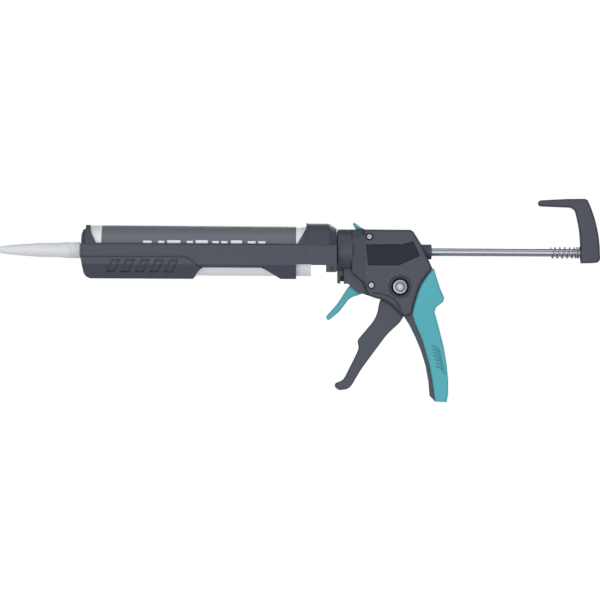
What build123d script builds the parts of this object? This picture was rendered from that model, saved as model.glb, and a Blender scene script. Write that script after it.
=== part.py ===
"""Caulking gun: a turning cradle with its cartridge, a sliding rod and a two-shell handle.

Millimetres.  The rod runs along X, the nozzle points to -X and +Z is up.  The origin is the
centre of the nozzle's outlet.  Outlines are side views, as (x, z) points.
"""
from build123d import *
import math
import os

os.makedirs("parts", exist_ok=True)

# --- fits and walls ---
gap = 0.4                    # between parts that pass each other
running_fit = 0.05           # radial, a shaft in its hole
seat = 0.05                  # between pieces that are fixed to each other
largest_corner = 60.0        # radius, in the outlines of the levers

# --- rod, piston and hook ---
rod_radius = 4.0
rod_front = 222.0            # front end of the rod at rest
rod_length = 370.0
piston_clearance = 0.8       # radial, in the cartridge
piston_thickness = 3.0
piston_nut_length = 4.5
piston_nut_width = 13.0      # across flats
piston_washer_radius = 9.0
piston_washer_thickness = 1.6
hook_half_width = 6.5
hook_pin_radius = 1.6
hook_pin_cover = 1.8         # of plastic over the pin's end, on the left side
hook_edge_round = 2.4
spring_wire = 1.5            # diameter of the wire of the buffer spring
spring_length = 30.4
spring_clearance = 0.55      # radial, between the rod and its buffer spring
spring_turns = 7.0

# --- cartridge and nozzle ---
cartridge_radius = 24.7
cartridge_length = 222.8
cartridge_wall = 1.3
cartridge_front_wall = 2.5
spout_radius = 6.4
spout_length = 13.0
spout_bore = 3.0
nozzle_length = 80.0
nozzle_tip_radius = 3.3
nozzle_waist_radius = 6.9    # half way along
nozzle_base_radius = 8.0
nozzle_skirt = 19.0          # length of the wider end over the spout
nozzle_outlet_radius = 2.5
nozzle_outlet_depth = 12.0
nozzle_to_cartridge = 8.0
label_thickness = 0.2
label_front_margin = 14.5
label_rear_margin = 15.0
label_open_half_angle = 47.0  # unlabelled strip along the bottom
plunger_depth = 15.0
plunger_wall = 1.5
plunger_back = 5.0           # from the cartridge's inner front wall

# --- cradle ---
cradle_gap = 0.4             # radial, around the cartridge
cradle_wall = 2.9
cradle_front_wall = 5.6
rim_height = 7.0             # of the side walls, above the rod's axis
rim_step_height = 1.4        # of the step along the outside of the rim
rim_step_depth = 1.2
side_depth = 14.0            # of the upright side walls, below the axis
arch_lip = 2.4               # of the sloping facet that is left above the arch
floor_wall = 2.6             # under the cartridge
belly_length = 109.5
belly_proud = 1.2
belly_top = -7.1
rib_count = 5
rib_pitch = 14.4
rib_recess_width = 8.4
rib_recess_depth = 1.7
rib_lean = 6.5
collar_length = 31.0
collar_rear_wall = 6.0
rear_foot_end = 40.2         # from the cradle's rear face forward to the foot
nozzle_slot_half_width = 9.4
cap_opening_half_width = 12.2

# --- swivel between the cradle and the housing ---
swivel_gap = 1.9
hub_radius = 8.0
hub_flange_radius = 12.0
hub_flange_thickness = 3.0
swivel_nut_width = 22.0
swivel_nut_thickness = 5.0
swivel_washer_radius = 14.0
swivel_washer_thickness = 1.5

# --- housing and handle ---
housing_half_width = 17.0
housing_wall = 2.8
barrel_radius = 21.2
barrel_length = 13.7
barrel_rise = 0.8            # of the barrel's centre above the rod's axis
barrel_lead = 1.0            # of the barrel's front edge, past the housing's front face
room_end_radius = 13.8       # of the space inside, behind the barrel
handle_side_wall = 2.9       # beside the trigger, in the handle's core
handle_wall = 2.2
strip_proud = 1.7            # of the bare strip along the handle's front
grip_thickness = 2.7         # on the sides of the handle
grip_back = 2.6              # thickness of the grip behind the core
edge_round = 2.0
grip_rib_count = 7
grip_rib_pitch = 3.5
panel_depth = 0.8
panel_inset = 0.15           # around the insert in the sunk panel
shoulder_front_half_width = 19.4
shoulder_rear_half_width = 16.6
groove_depth = 0.7
dish_radius = 11.4
dish_depth = 1.2
pin_ring_radius = 3.9
pin_ring_depth = 0.8
sleeve_wall = 3.5
sleeve_end = 93.0            # from the housing's front face
sleeve_length = 17.0
screw_radius = 1.5
screw_head_radius = 3.2
screw_head_depth = 2.0
tab_screw_head_radius = 1.9
tab_screw_proud = 0.4
boss_radius = 3.6
screw_tip = 7.5              # from the plane of the handle, in the far shell

# --- mechanism ---
pivot = (61.4, -35.0)        # trigger pivot, from the housing's front face
pivot_bolt_radius = 4.0
pivot_head_radius = 7.2
pivot_head_thickness = 2.4
pivot_end_proud = 3.0        # of the bolt's end, past the housing
pivot_nut_radius = 6.5       # to its flats
pivot_nut_thickness = 4.0
pivot_key_width = 6.0
pivot_sleeve_radius = 5.5
trigger_half_width = 9.2
trigger_arm = 35.0           # from the pivot up to the tines' noses
trigger_arm_lean = 15.0      # degrees behind the upright, at rest
tine_nose_radius = 3.2
tine_clearance = 2.0         # between the tines and the rod
drive_plate_thickness = 3.0
drive_plate_half_width = 10.5
drive_plate_half_height = 12.5
drive_spring_clearance = 3.0 # radial, around the rod
drive_spring_wire = 1.3
drive_spring_turns = 6.0
partition = (26.0, 29.0)     # rib inside the housing, from its front face
release_pivot = (32.8, -33.6)
release_pin_radius = 2.0
release_head_radius = 2.9
release_half_width = 5.0
brake_plate_front = 14.5
brake_plate_thickness = 3.0
brake_plate_half_width = 6.5
brake_plate_top = 10.0
brake_plate_foot = -13.0
brake_clearance = 1.6        # radial, so that the plate can tip on the rod
brake_spring_clearance = 1.9 # radial, around the rod
brake_spring_wire = 1.0
brake_spring_turns = 4.0
tab_pivot = (30.6, 14.7)
tab_pin_radius = 1.8
tab_head_radius = 2.7
tab_half_width = 3.4
pin_proud = 0.6

# --- places along the rod ---
cartridge_front = nozzle_length + nozzle_to_cartridge
cartridge_rear = cartridge_front + cartridge_length
cradle_inner_radius = cartridge_radius + cradle_gap
cradle_half_width = cradle_inner_radius + cradle_wall
floor_depth = cradle_inner_radius + floor_wall
floor_half_width = cradle_half_width - (floor_depth - side_depth)
piston_radius = cartridge_radius - cartridge_wall - piston_clearance
spring_radius = rod_radius + spring_clearance + spring_wire / 2
drive_spring_radius = rod_radius + drive_spring_clearance + drive_spring_wire / 2
brake_spring_radius = rod_radius + brake_spring_clearance + brake_spring_wire / 2
sleeve_radius = rod_radius + sleeve_wall
tine_inner = rod_radius + tine_clearance
handle_half_width = trigger_half_width + gap + handle_side_wall
strip_half_width = handle_half_width + strip_proud
screw_head_seat = handle_half_width - screw_head_depth
grip_half_width = handle_half_width + grip_thickness
cap_front = cartridge_front - gap - cradle_front_wall
cradle_rear = cartridge_rear + 25.4
housing_front = cradle_rear + swivel_gap
rod_rear = rod_front + rod_length
hook_base = rod_rear - 12.0
plate_front = rod_front + piston_nut_length + piston_washer_thickness
pivot_x = housing_front + pivot[0]
pivot_z = pivot[1]


def polygon(points, plane):
    """A flat face on a plane from its corners."""
    return plane * make_face(Polyline(*points, close=True))


def slab(points, half_width):
    """A plate with a side outline, centred on the plane of the handle."""
    return extrude(polygon(points, Plane.XZ), amount=half_width, both=True)


def smooth(points, largest):
    """A closed outline whose corners are as round as their two edges allow."""
    corners = [Vector(*point) for point in points]
    radii = []
    for before, corner, after in zip(corners[-1:] + corners[:-1], corners,
                                     corners[1:] + corners[:1]):
        run = min((corner - before).length, (after - corner).length)
        turn = math.radians((corner - before).get_angle(after - corner))
        radii.append(min(largest, 0.45 * run / math.tan(turn / 2)))
    return FilletPolyline(*points, radius=radii, close=True)


def smooth_slab(points, half_width):
    """A plate with a side outline whose corners are round."""
    face = Plane.XZ * make_face(smooth(points, largest_corner))
    return extrude(face, amount=half_width, both=True)


def side_edges(shape, half_width):
    """The edges around both flat sides of a plate."""
    return shape.edges().filter_by(lambda edge: abs(abs(edge.center().Y) - half_width) < 0.01)


def bar(points, start, end):
    """A bar along the rod with a cross-section of (y, z) points."""
    plane = Plane(origin=(start, 0, 0), x_dir=(0, 1, 0), z_dir=(1, 0, 0))
    return extrude(polygon(points, plane), amount=end - start)


def turned(points):
    """A body turned about the rod's axis from (x, radius) points."""
    return revolve(polygon(points, Plane.XZ), axis=Axis.X)


def round_x(radius, start, end, z=0.0):
    """A cylinder along the rod."""
    return Pos((start + end) / 2, 0, z) * Rot(0, 90, 0) * Cylinder(radius, end - start)


def ring_x(outer, inner, start, end):
    """A ring around the rod."""
    return round_x(outer, start, end) - round_x(inner, start - 1, end + 1)


def round_y(radius, place, start, end):
    """A cylinder across the housing, at an (x, z) place."""
    return Pos(place[0], (start + end) / 2, place[1]) * Rot(90, 0, 0) * Cylinder(radius, end - start)


def block(x, y, z):
    """A box from its (low, high) spans."""
    size = Box(x[1] - x[0], y[1] - y[0], z[1] - z[0])
    return Pos((x[0] + x[1]) / 2, (y[0] + y[1]) / 2, (z[0] + z[1]) / 2) * size


def hexagon_x(width, start, end):
    """A hexagonal nut blank along the rod."""
    plane = Plane(origin=(start, 0, 0), x_dir=(0, 1, 0), z_dir=(1, 0, 0))
    return extrude(plane * RegularPolygon(width / 2, 6, major_radius=False), amount=end - start)


def from_housing(points):
    """Side-view points measured from the housing's front face."""
    return [(housing_front + x, z) for x, z in points]


def coil(radius, wire, start, end, turns):
    """A compression spring around the rod."""
    pitch = (end - start - wire) / turns
    path = Helix(pitch=pitch, height=pitch * turns, radius=radius)
    section = Plane(origin=path @ 0, z_dir=path % 0) * Circle(wire / 2)
    return Pos(start + wire / 2, 0, 0) * Rot(0, 90, 0) * sweep(section, path=path, is_frenet=True)


# ---------------------------------------------------------------- cartridge and nozzle
def cartridge_tube():
    """Plastic tube, open behind, with a spout in its front wall."""
    spout_front = cartridge_front - spout_length
    inner = cartridge_radius - cartridge_wall
    return turned([
        (spout_front, spout_bore), (spout_front, spout_radius),
        (cartridge_front, spout_radius), (cartridge_front, cartridge_radius - 1.0),
        (cartridge_front + 1.0, cartridge_radius), (cartridge_rear, cartridge_radius),
        (cartridge_rear, inner), (cartridge_front + cartridge_front_wall, inner),
        (cartridge_front + cartridge_front_wall, spout_bore),
    ])


def cartridge_label():
    """Thin wrap that leaves a bare strip along the bottom of the tube."""
    start = cartridge_front + label_front_margin
    end = cartridge_rear - label_rear_margin
    inner = cartridge_radius + seat / 5
    wrap = ring_x(cartridge_radius + label_thickness, inner, start, end)
    reach = 2 * cartridge_radius
    side = reach * math.tan(math.radians(label_open_half_angle))
    return wrap - bar([(0, 0), (side, -reach), (-side, -reach)], start - 1, end + 1)


def cartridge_plunger():
    """Cup that the piston pushes on, near the front of a nearly empty cartridge."""
    radius = cartridge_radius - cartridge_wall - seat
    front = cartridge_front + cartridge_front_wall + 0.5
    back = front + plunger_depth
    return turned([
        (front, 0), (front, radius - 3.0), (front + 3.0, radius), (back, radius),
        (back, radius - plunger_wall), (front + 4.0, radius - plunger_wall),
        (front + plunger_wall, radius - 5.0), (front + plunger_wall, 0),
    ])


def nozzle():
    """Cone with a short flange, screwed over the spout."""
    outlet = nozzle_outlet_radius
    tip = nozzle_tip_radius
    base = nozzle_base_radius
    socket_front = cartridge_front - spout_length - gap
    step = nozzle_length - nozzle_skirt
    return turned([
        (0, outlet), (0, tip), (4.0, tip + 0.6), (10.4, tip + 1.4),
        (nozzle_length / 2, nozzle_waist_radius), (step, base - 0.8), (step + 1.5, base - 0.4),
        (step + nozzle_skirt / 2, base), (nozzle_length, base),
        (nozzle_length, spout_radius + seat), (socket_front, spout_radius + seat),
        (socket_front, spout_bore + 1.5), (nozzle_outlet_depth, outlet),
    ])


# ---------------------------------------------------------------- cradle
def cradle_section(grow):
    """Cross-section of the trough's outside, grown outwards by a distance."""
    half = cradle_half_width + grow
    step = rim_height - rim_step_height
    return [
        (-half, step), (rim_step_depth - half, step), (rim_step_depth - half, rim_height),
        (half - rim_step_depth, rim_height), (half - rim_step_depth, step), (half, step),
        (half, -side_depth),
        (floor_half_width + 0.4 * grow, -floor_depth - grow / 3),
        (-floor_half_width - 0.4 * grow, -floor_depth - grow / 3), (-half, -side_depth),
    ]


def belly_profile():
    """Side view of the swollen front half of the trough."""
    end = cap_front + belly_length
    return [
        (cap_front + 0.8, belly_top), (end - 6.2, belly_top), (end - 0.5, belly_top - 2.2),
        (end + 4.5, belly_top - 7.0), (end + 11.0, -17.8), (end, -floor_depth - 1.0),
        (cap_front + 6.0, -floor_depth - 1.0), (cap_front + 3.4, -24.0),
        (cap_front + 0.8, -side_depth),
    ]


def rib_recess(index):
    """Side view of one slanted recess in the belly."""
    top = cap_front + 31.5 + index * rib_pitch
    return [
        (top, belly_top - 2.2), (top + rib_recess_width, belly_top - 2.2),
        (top + rib_recess_width - rib_lean, -22.0), (top - rib_lean, -22.0),
    ]


def front_cap():
    """Front wall and lip around the cartridge's shoulder, open at the top for the nozzle."""
    radius = cradle_inner_radius
    wall = turned([
        (cap_front, 0), (cap_front, radius - 6.0), (cap_front + 0.5, radius - 4.2),
        (cap_front + 2.0, radius - 1.4), (cap_front + 5.0, radius - 0.4), (cap_front + 5.0, 0),
    ])
    lip = round_x(cradle_half_width - 0.2, cap_front + 4.6, cap_front + 9.3)
    brow = slab([
        (cap_front + 4.6, -5.0), (cap_front + 4.6, 40.0), (cap_front + 9.4, 40.0),
        (cap_front + 9.2, 21.0), (cap_front + 10.6, 16.5), (cap_front + 13.2, 11.4),
        (cap_front + 15.3, rim_height), (cap_front + 15.3, -5.0),
    ], cradle_half_width)
    rise = round_x(cradle_half_width - 0.2, cap_front + 4.6, cap_front + 15.3) & brow
    cap = wall + lip + rise
    cap -= block((cap_front - 1, cap_front + 20), (-cap_opening_half_width, cap_opening_half_width),
                 (rim_height, 60))
    return cap


def rear_collar():
    """Closed ring over the cartridge's rear end, with the wall that the swivel goes through."""
    start = cradle_rear - collar_length
    end = cradle_rear
    outline = [
        (start - 8.0, -side_depth + 0.7), (start - 8.0, rim_height), (start + 0.7, 22.8),
        (start + 0.7, 40.0), (end, 40.0), (end, -side_depth + 0.7),
    ]
    radius = cradle_half_width - 0.2
    ring = turned([
        (start - 8.0, 0), (start - 8.0, radius), (end - 7.6, radius),
        (end, radius - 4.6), (end, 0),
    ])
    bead = round_x(radius + 0.5, start, start + 2.4)
    return (ring + bead) & slab(outline, cradle_half_width + 2.0)


def cradle():
    """Trough, cap, collar and belly, moulded in one."""
    end = cap_front + belly_length
    foot = cradle_rear - rear_foot_end
    trough = bar(cradle_section(0.0), cap_front, cradle_rear)
    trough = chamfer(trough.faces().sort_by(Axis.X)[0].edges(), 1.2)
    belly = bar(cradle_section(belly_proud), cap_front, end + 12.0) & slab(belly_profile(), 60)
    groove = bar(cradle_section(belly_proud - rib_recess_depth), cap_front - 1, end + 13.0)
    for index in range(rib_count):
        belly -= slab(rib_recess(index), 60) - groove
    body = trough + belly + front_cap() + rear_collar()
    under = -floor_depth - 10.0
    body -= slab([
        (end + 0.5, under), (end + 0.5, -floor_depth - 0.8), (end + 9.0, -18.8),
        (end + 13.0, -side_depth - arch_lip), (foot - 36.0, -side_depth - arch_lip),
        (foot - 30.0, -side_depth - arch_lip - 2.8),
        (foot - 15.4, -floor_depth - 0.1), (foot - 15.4, under),
    ], 60)
    body -= block((foot, cradle_rear + 1), (-60, 60), (under, -side_depth + 0.7))
    body -= slab([
        (cap_front - 1, under), (cap_front - 1, belly_top), (cap_front, belly_top),
        (cap_front + 1.0, -11.3), (cap_front + 2.8, -23.1), (cap_front + 5.2, -26.6),
        (cap_front + 8.0, -floor_depth), (cap_front + 8.0, under),
    ], 60)
    bay_end = cradle_rear - collar_rear_wall
    body -= round_x(cradle_inner_radius, cap_front + cradle_front_wall, bay_end)
    body -= block((cap_front + cradle_front_wall, cradle_rear - collar_length - 8.0),
                  (-cradle_inner_radius, cradle_inner_radius), (0, rim_height + 1))
    slot = nozzle_slot_half_width
    body -= round_x(slot, cap_front - 1, cap_front + cradle_front_wall + 1)
    body -= block((cap_front - 1, cap_front + cradle_front_wall + 1), (-slot, slot), (0, 60))
    body -= round_x(hub_radius + running_fit, bay_end - 1, cradle_rear + 1)
    for side in (-1, 1):
        low, high = sorted((side * (cradle_half_width - cradle_wall), side * cradle_half_width))
        body += block((cradle_rear - 10.0, cradle_rear), (low, high), (-20.4, -side_depth + 1.0))
        body -= round_y(screw_radius + seat, cradle_screw_place(), low - 1, high + 1)
    return body


def cradle_screw_place():
    """Side-view place of the screws in the tabs."""
    return (cradle_rear - 5.0, -17.0)


def cradle_screws():
    """Two short screws, one in each tab under the collar."""
    screws = []
    for side in (-1, 1):
        face = side * cradle_half_width
        inner, outer = sorted((side * (cradle_half_width - cradle_wall), face))
        stem = round_y(screw_radius, cradle_screw_place(), inner, outer)
        low, high = sorted((face, face + side * tab_screw_proud))
        screws.append(stem + round_y(tab_screw_head_radius, cradle_screw_place(), low, high))
    return Compound(children=screws)


# ---------------------------------------------------------------- rod group
def push_rod():
    """Steel rod with a threaded front end and a cross hole for the hook's pin."""
    rod = round_x(rod_radius, rod_front, rod_rear)
    rod = chamfer(rod.edges().filter_by(GeomType.CIRCLE), 0.6)
    return rod - round_y(hook_pin_radius + seat, hook_pin_place(), -10, 10)


def piston_plate():
    """Pressed disc with a turned rim."""
    radius = piston_radius
    start = plate_front
    bore = rod_radius + running_fit
    return turned([
        (start, bore), (start, radius - 4.0), (start + 2.0, radius - 2.0), (start + 5.5, radius),
        (start + 8.0, radius), (start + 8.0, radius - 1.8), (start + 6.0, radius - 2.0),
        (start + piston_thickness, radius - 5.0), (start + piston_thickness, bore),
    ])


def piston_washer():
    """Flat washer in front of the plate."""
    return ring_x(piston_washer_radius, rod_radius + running_fit,
                  plate_front - piston_washer_thickness, plate_front)


def piston_nut():
    """Hexagonal nut on the rod's front end."""
    end = rod_front + piston_nut_length
    return hexagon_x(piston_nut_width, rod_front, end) - round_x(rod_radius + seat, rod_front - 1, end + 1)


def hook_pin_place():
    """Side-view place of the pin through the hook and the rod."""
    return (hook_base + 6.0, 0.0)


def pull_hook():
    """Moulded hook: a socket on the rod, a bowed back and an arm that reaches forward."""
    base = hook_base
    back = (base + 11.6, 27.8)
    outline = (
        Polyline((base, 7.6), (base, 0), (base, -6.0), (base + 0.8, -10.6), (base + 11.5, -10.4),
                 (base + 16.4, -9.9))
        + ThreePointArc((base + 16.4, -9.9), (base + 18.8, -7.8), (base + 19.4, -3.0))
        + ThreePointArc((base + 19.4, -3.0), (base + 15.4, 28.6), (base + 7.4, 51.4))
        + ThreePointArc((base + 7.4, 51.4), (base + 6.0, 53.0), (base + 3.4, 53.9))
        + Polyline((base + 3.4, 53.9), (base - 15.0, 53.6), (base - 39.4, 52.2))
        + ThreePointArc((base - 39.4, 52.2), (base - 42.3, 49.2), (base - 38.8, 46.1))
        + Polyline((base - 38.8, 46.1), (base - 11.4, 45.1))
        + ThreePointArc((base - 11.4, 45.1), (base - 7.4, 43.5), (base - 5.4, 41.6))
        + ThreePointArc((base - 5.4, 41.6), (base - 0.9, 20.0), (base, 7.6))
    )
    hook = extrude(Plane.XZ * make_face(outline), amount=hook_half_width, both=True)
    hook = fillet(side_edges(hook, hook_half_width), hook_edge_round)
    hook -= round_x(rod_radius + seat, base - 5, rod_rear + seat)
    blind = hook_half_width - hook_pin_cover
    return hook - round_y(hook_pin_radius + seat, hook_pin_place(), -blind, 20)


def hook_pin():
    """Cross pin that holds the hook on the rod."""
    blind = hook_half_width - hook_pin_cover
    return round_y(hook_pin_radius, hook_pin_place(), -blind, hook_half_width)


def rod_spring():
    """Buffer spring on the rod, in front of the hook."""
    return coil(spring_radius, spring_wire, hook_base - spring_length - seat, hook_base - seat,
                spring_turns)


# ---------------------------------------------------------------- housing and handle
def body_outline():
    """Side view of the wide upper body."""
    return from_housing([
        (25.0, 21.9), (71.5, 21.7), (74.4, 19.9), (82.5, 7.0), (93.5, -16.6), (86.8, -24.8),
        (82.0, -32.4), (78.2, -42.0), (74.9, -53.5), (73.2, -62.0), (66.7, -65.2), (62.0, -61.2),
        (54.0, -53.4), (46.0, -48.4), (38.0, -46.6), (30.0, -43.8), (27.4, -38.0), (25.0, -30.0),
    ])


def guard_outline():
    """Side view of the narrow lower front that holds the release trigger."""
    return from_housing([
        (5.7, -16.0), (30.0, -16.0), (32.0, -44.5), (20.0, -40.6), (10.0, -32.2), (5.7, -31.4),
    ])


def shoulder_outline():
    """Side view of the shoulder between the barrel and the body, down to the guard."""
    return from_housing([
        (13.7, 21.9), (13.7, -20.4), (25.0, -30.0), (28.0, -30.0), (28.0, 21.9),
    ])


def roof_outline():
    """Side view of the flat roof that the drip-stop tab comes out of."""
    return from_housing([(0, 12.0), (0, 21.9), (28.0, 21.9), (28.0, 12.0)])


def panel_outline():
    """Side view of the sunk panel on the housing's side."""
    return from_housing([
        (27.4, 6.8), (63.8, 7.3), (74.3, 10.4), (81.0, -4.2), (72.4, -8.0), (59.9, -13.8),
        (29.3, -13.8),
    ])


def panel_insert(side):
    """Thin dark plate that is pressed into the sunk panel on one side."""
    outline = offset(polygon(panel_outline(), Plane.XZ), amount=-panel_inset,
                     kind=Kind.INTERSECTION)
    plate = extrude(outline, amount=housing_half_width, both=True)
    floor = housing_half_width - panel_depth + seat / 5
    low, high = sorted((side * floor, side * (housing_half_width - panel_depth / 2)))
    return plate & block((-50, 900), (low, high), (-200, 60))


def lip_groove_outline():
    """Side view of the groove above the trigger's opening."""
    return from_housing([
        (33.8, -42.2), (41.0, -42.4), (48.3, -44.4), (54.4, -47.8), (58.8, -52.4), (61.6, -57.8),
        (63.0, -57.2), (60.0, -51.4), (55.3, -46.6), (48.8, -43.0), (41.2, -40.9), (33.8, -40.7),
    ])


def handle_outline(back_inset):
    """Side view of the handle, with its back edge moved in."""
    inset = back_inset
    return from_housing([
        (69.4, -59.0), (72.6, -44.0), (80.6, -24.8), (88.6 - inset, -13.0), (93.5 - inset, -17.0),
        (101.0 - inset, -36.0), (105.4 - inset, -45.6), (104.0 - inset, -50.0),
        (97.4 - inset, -55.4), (95.8 - inset, -59.6), (100.6 - inset, -77.0),
        (105.2 - inset, -95.0), (108.2 - inset, -112.0), (109.7 - inset, -128.0),
        (109.7 - inset, -141.4), (108.2, -149.4), (96.8, -148.6), (92.5, -144.2),
        (91.1, -129.0), (88.2, -113.6), (83.4, -98.4), (77.7, -85.0), (72.0, -73.4),
        (66.7, -65.2),
    ])


def grip_outline():
    """Side view of the soft grip on the back and sides of the handle."""
    return from_housing([
        (95.0, -16.4), (93.2, -17.4), (87.2, -25.2), (82.4, -32.6), (78.6, -42.2),
        (75.3, -53.6), (73.4, -62.0),
        (76.9, -72.4), (83.6, -87.7), (87.5, -101.0), (91.3, -114.5), (94.2, -130.8),
        (96.1, -144.0), (97.0, -149.2), (108.4, -149.6), (109.8, -142.0), (109.8, -128.0),
        (108.3, -112.0), (105.3, -95.0), (100.7, -77.0), (95.9, -59.6), (97.5, -55.2),
        (104.2, -50.0), (105.5, -45.6), (101.1, -35.8),
    ])


def boss_places():
    """Side-view places of the screws that join the shells."""
    return from_housing([(60.0, 17.0), (41.5, -38.0), (86.0, -16.0), (99.0, -138.0)])


def casing():
    """Both shells together, hollow, with every opening cut."""
    body = slab(body_outline(), housing_half_width)
    body = chamfer(side_edges(body, housing_half_width), edge_round)
    barrel_end = housing_front + barrel_length
    barrel = round_x(barrel_radius, housing_front - barrel_lead, barrel_end, barrel_rise)
    barrel += round_x(barrel_radius - 1.4, housing_front - swivel_gap + gap, housing_front)
    core = slab(handle_outline(grip_back), handle_half_width)
    strip = slab(handle_outline(grip_back), strip_half_width) - slab(grip_outline(), 60)
    guard = slab(guard_outline(), 11.0)
    block_front = slab(from_housing([
        (-1.0, -16.0), (10.0, -16.0), (10.0, -32.2), (5.7, -32.2), (5.7, -25.0), (2.0, -25.0),
        (2.0, -32.2), (-1.0, -31.5),
    ]), 7.5)
    block_front += slab(from_housing([(0, -16.0), (7.0, -16.0), (7.0, -29.8), (0, -29.8)]), 2.4)
    roof = slab(roof_outline(), 9.0)
    outside = body + barrel + core + strip + guard + block_front + shoulder() + roof
    return outside - casing_cavity() - openings() - surface_cuts()


def surface_cuts():
    """Shallow recesses on both sides of the housing."""
    cuts = []
    for side in (-1, 1):
        for outline, depth in ((panel_outline(), panel_depth), (lip_groove_outline(), groove_depth)):
            low, high = sorted((side * (housing_half_width - depth), side * 40))
            cuts.append(slab(outline, 60) & block((-50, 900), (low, high), (-200, 60)))
        low, high = sorted((side * (housing_half_width - dish_depth), side * 40))
        cuts.append(round_y(dish_radius, (pivot_x, pivot_z), low, high))
        low, high = sorted((side * (barrel_radius - panel_depth), side * 40))
        cuts.append(block((housing_front + 5.0, housing_front + 11.0), (low, high), (-10.7, -4.4)))
        low, high = sorted((side * (housing_half_width - pin_ring_depth), side * 40))
        for place in (tab_place(), release_place()):
            cuts.append(round_y(pin_ring_radius, place, low, high))
    return Part() + cuts


def shoulder():
    """Box shoulder with cut top corners, which narrows from the barrel to the flat body."""
    start = housing_front + barrel_length
    end = housing_front + 28.0
    wide, narrow = shoulder_front_half_width, shoulder_rear_half_width
    plan = polygon([(start, -wide), (end, -narrow), (end, narrow), (start, wide)], Plane.XY)
    section = bar([(-21.0, -60.0), (-21.0, 11.0), (-11.0, 21.0), (11.0, 21.0), (21.0, 11.0),
                   (21.0, -60.0)], start, end)
    return extrude(plan, amount=60, both=True) & section & slab(shoulder_outline(), 60)


def casing_cavity():
    """Space inside the shells."""
    wall = housing_wall
    upper = offset(polygon(body_outline(), Plane.XZ), amount=-wall, kind=Kind.INTERSECTION)
    lower = offset(polygon(handle_outline(grip_back), Plane.XZ), amount=-handle_wall,
                   kind=Kind.INTERSECTION)
    room = extrude(upper, amount=housing_half_width - wall, both=True)
    room += extrude(lower, amount=handle_half_width - handle_wall, both=True)
    start = housing_front + 3.0
    knee = housing_front + barrel_length - 1.0
    end = housing_front + partition[0]
    room += Pos(0, 0, barrel_rise) * turned([
        (start, 0), (start, barrel_radius - wall - 0.6), (knee, barrel_radius - wall - 0.6),
        (end, room_end_radius), (end, 0),
    ])
    low, high = (housing_front + partition[0], housing_front + partition[1])
    web = block((low, high), (-40, 40), (-24, 40)) - round_x(rod_radius + gap, low - 1, high + 1)
    room -= web
    sleeve_front = housing_front + sleeve_end - sleeve_length
    seat_block = block((sleeve_front, sleeve_front + 8.0), (-10.5, 10.5), (-12, 12))
    room -= seat_block
    for place in boss_places():
        room -= round_y(boss_radius, place, -60, 60)
    room -= round_y(boss_radius + 1.6, (pivot_x, pivot_z), -60, -trigger_half_width - gap)
    room -= round_y(boss_radius + 1.6, (pivot_x, pivot_z), trigger_half_width + gap, 60)
    return room


def openings():
    """Holes for the rod, the levers, the pins and the screws."""
    front = housing_front
    cut = round_x(rod_radius + gap, front - 5, front + 120)
    cut += round_x(hub_radius + seat, front - 5, front + 6)
    cut += round_x(hub_flange_radius + seat, front + 3.0, front + 3.0 + hub_flange_thickness)
    cut += round_x(sleeve_radius + seat, front + sleeve_end - sleeve_length, front + 120)
    slot = trigger_half_width + gap
    cut += block((front + 38.0, front + 83.0), (-slot, slot), (-84.0, -40.0))
    cut += block((front + 5.9, front + 41.0), (-release_half_width - gap, release_half_width + gap),
                 (-50.0, -8.0))
    cut += block((front + 12.0, front + 36.0), (-tab_half_width - gap, tab_half_width + gap),
                 (8.0, 40.0))
    cut += round_y(release_pin_radius + seat, release_place(), -60, 60)
    cut += round_y(tab_pin_radius + seat, tab_place(), -60, 60)
    cut += round_y(pivot_bolt_radius + seat, (pivot_x, pivot_z), -60, 60)
    for place in boss_places():
        cut += round_y(screw_radius + seat, place, -screw_tip - gap, 60)
        cut += round_y(screw_head_radius + seat, place, screw_head_seat, 60)
    return cut


def release_place():
    """Side-view place of the release trigger's pin."""
    return (housing_front + release_pivot[0], release_pivot[1])


def tab_place():
    """Side-view place of the drip-stop tab's pin."""
    return (housing_front + tab_pivot[0], tab_pivot[1])


def half(shape, side):
    """One half of a shape, split on the plane of the handle."""
    reach = (seat / 5, 200) if side > 0 else (-200, -seat / 5)
    return shape & block((-50, 900), reach, (-300, 200))


def grip_groove(index):
    """One slanted groove across the sides of the grip."""
    drop = index * grip_rib_pitch
    x, z = 93.4 + 0.22 * drop, -93.6 - drop
    band = slab(from_housing([
        (x, z), (x + 3.6, z - 1.5), (x + 6.6, z - 4.4), (x + 8.0, z - 7.6), (x + 8.9, z - 6.8),
        (x + 7.4, z - 3.4), (x + 4.1, z - 0.3), (x, z + 1.1),
    ]), 60)
    return band - block((-50, 900), (groove_depth - grip_half_width, grip_half_width - groove_depth),
                        (-300, 60))


def grip(side):
    """One soft half of the handle's cover."""
    cover = slab(grip_outline(), grip_half_width)
    cover = chamfer(side_edges(cover, grip_half_width), 1.4)
    for index in range(grip_rib_count):
        cover -= grip_groove(index)
    cover -= slab(handle_outline(grip_back - seat), handle_half_width + seat)
    cover -= slab(body_outline(), housing_half_width + 1)
    for place in boss_places():
        cover -= round_y(screw_head_radius + seat, place, 0, 60)
    return half(cover, side)


def housing_screws():
    """Screws that join the shells, put in from the right side."""
    screws = []
    for place in boss_places():
        stem = round_y(screw_radius, place, -screw_tip, screw_head_seat)
        top = screw_head_seat + screw_head_depth
        screws.append(stem + round_y(screw_head_radius, place, screw_head_seat, top))
    return Compound(children=screws)


def headed_pin(place, radius, head_radius):
    """Pin across the housing with a low head at each side."""
    floor = housing_half_width - pin_ring_depth + seat
    reach = housing_half_width + pin_proud
    pin = round_y(radius, place, -reach, reach)
    for side in (-1, 1):
        low, high = sorted((side * floor, side * reach))
        head = round_y(head_radius, place, low, high)
        rim = head.edges().filter_by(GeomType.CIRCLE).sort_by(Axis.Y)[-1 if side > 0 else 0]
        pin += chamfer(rim, 0.5)
    return pin


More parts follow.
